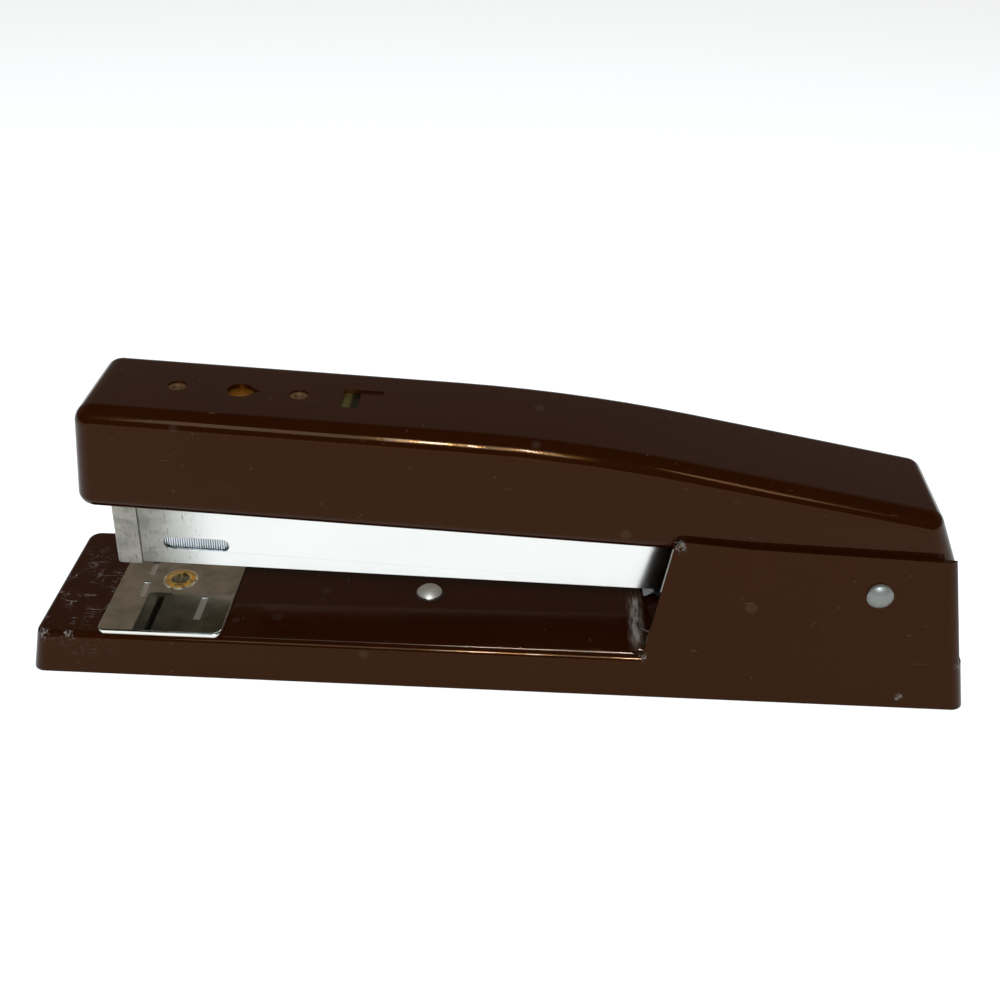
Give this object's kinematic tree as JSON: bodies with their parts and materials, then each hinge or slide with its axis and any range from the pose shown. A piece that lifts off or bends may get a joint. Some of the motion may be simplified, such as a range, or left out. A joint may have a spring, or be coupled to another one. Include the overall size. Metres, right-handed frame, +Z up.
{
  "type": "desk stapler",
  "caption": "Full-strip desk stapler: sheet-steel base with ears and a turning anvil plate, hinged steel magazine with spring feed, and a hinged cover that drives the staples.",
  "frame": {"origin": "centre of the base's footprint, at desk level", "axes": "+X along the stapler from its nose towards the main pivot, +Y across it, +Z up from the desk"},
  "size_m": [0.197, 0.0406, 0.0602],
  "materials": {
    "brown_enamel": "gloss brown baked enamel, chipped at corners",
    "sole_rubber": "matt moulded rubber",
    "polished_steel": "bright plated steel, lightly scratched",
    "channel_steel": "nickel-plated strip, fine drawn lines",
    "zinc_steel": "dull zinc plating",
    "spring_steel": "tempered bright spring steel",
    "staple_wire": "galvanised wire, glued in a strip",
    "follower_steel": "burnished steel",
    "brass_fittings": "tarnished brass with rust stain",
    "amber_plating": "yellow chromate plating on steel"
  },
  "bodies": {
    "base": {"base_shell": "brown_enamel", "base_sole": "sole_rubber", "sole_screws": "zinc_steel", "stop_button": "polished_steel", "lift_spring": "spring_steel", "lift_spring_rivet": "zinc_steel", "pivot_pin": "polished_steel", "pivot_washers": "zinc_steel", "pivot_spacers": "zinc_steel", "anvil_spring": "spring_steel"},
    "anvil_post": {"anvil_button": "brass_fittings"},
    "anvil": {"anvil_plate": "polished_steel", "anvil_eyelet": "brass_fittings"},
    "magazine": {"magazine_channel": "channel_steel", "blade_guide": "zinc_steel", "nose_cap": "polished_steel", "staple_rail": "channel_steel", "rail_rivets": "zinc_steel", "staple_strip": "staple_wire", "rear_bracket": "zinc_steel", "feed_rod": "zinc_steel", "feed_spring": "spring_steel"},
    "feed": {"follower": "follower_steel"},
    "cover": {"cover_shell": "brown_enamel", "driver_carrier": "amber_plating", "driver_blade": "spring_steel", "driver_rivets": "amber_plating", "return_spring": "amber_plating"}
  },
  "joints": [
    {"name": "magazine_swing", "type": "hinge", "parent": "base", "child": "magazine", "pos_m": [0.0777, 0, 0.0258], "axis": [0, 1, 0], "range_deg": [-2.8, 90], "stiffness_Nm_per_rad": 0.6, "springref_deg": 12.61, "deforming": ["lift_spring"]},
    {"name": "cover_swing", "type": "hinge", "parent": "magazine", "child": "cover", "pos_m": [0.0777, 0, 0.0258], "axis": [0, 1, 0], "range_deg": [-3, 60], "stiffness_Nm_per_rad": 0.5, "springref_deg": 8.59, "deforming": ["return_spring"]},
    {"name": "follower_slide", "type": "slide", "parent": "magazine", "child": "feed", "axis": [0.9998, 0, -0.0175], "range_m": [0, 0.05], "stiffness_N_per_m": 40, "springref_m": -0.04, "deforming": ["feed_spring"]},
    {"name": "anvil_lift", "type": "slide", "parent": "base", "child": "anvil_post", "axis": [0, 0, 1], "range_m": [0, 0.0015], "stiffness_N_per_m": 300, "springref_m": -0.0015, "deforming": ["anvil_spring"]},
    {"name": "anvil_turn", "type": "hinge", "parent": "anvil_post", "child": "anvil", "pos_m": [-0.0706, 0, 0.0101], "axis": [0, 0, 1], "range_deg": [0, 180]}
  ]
}
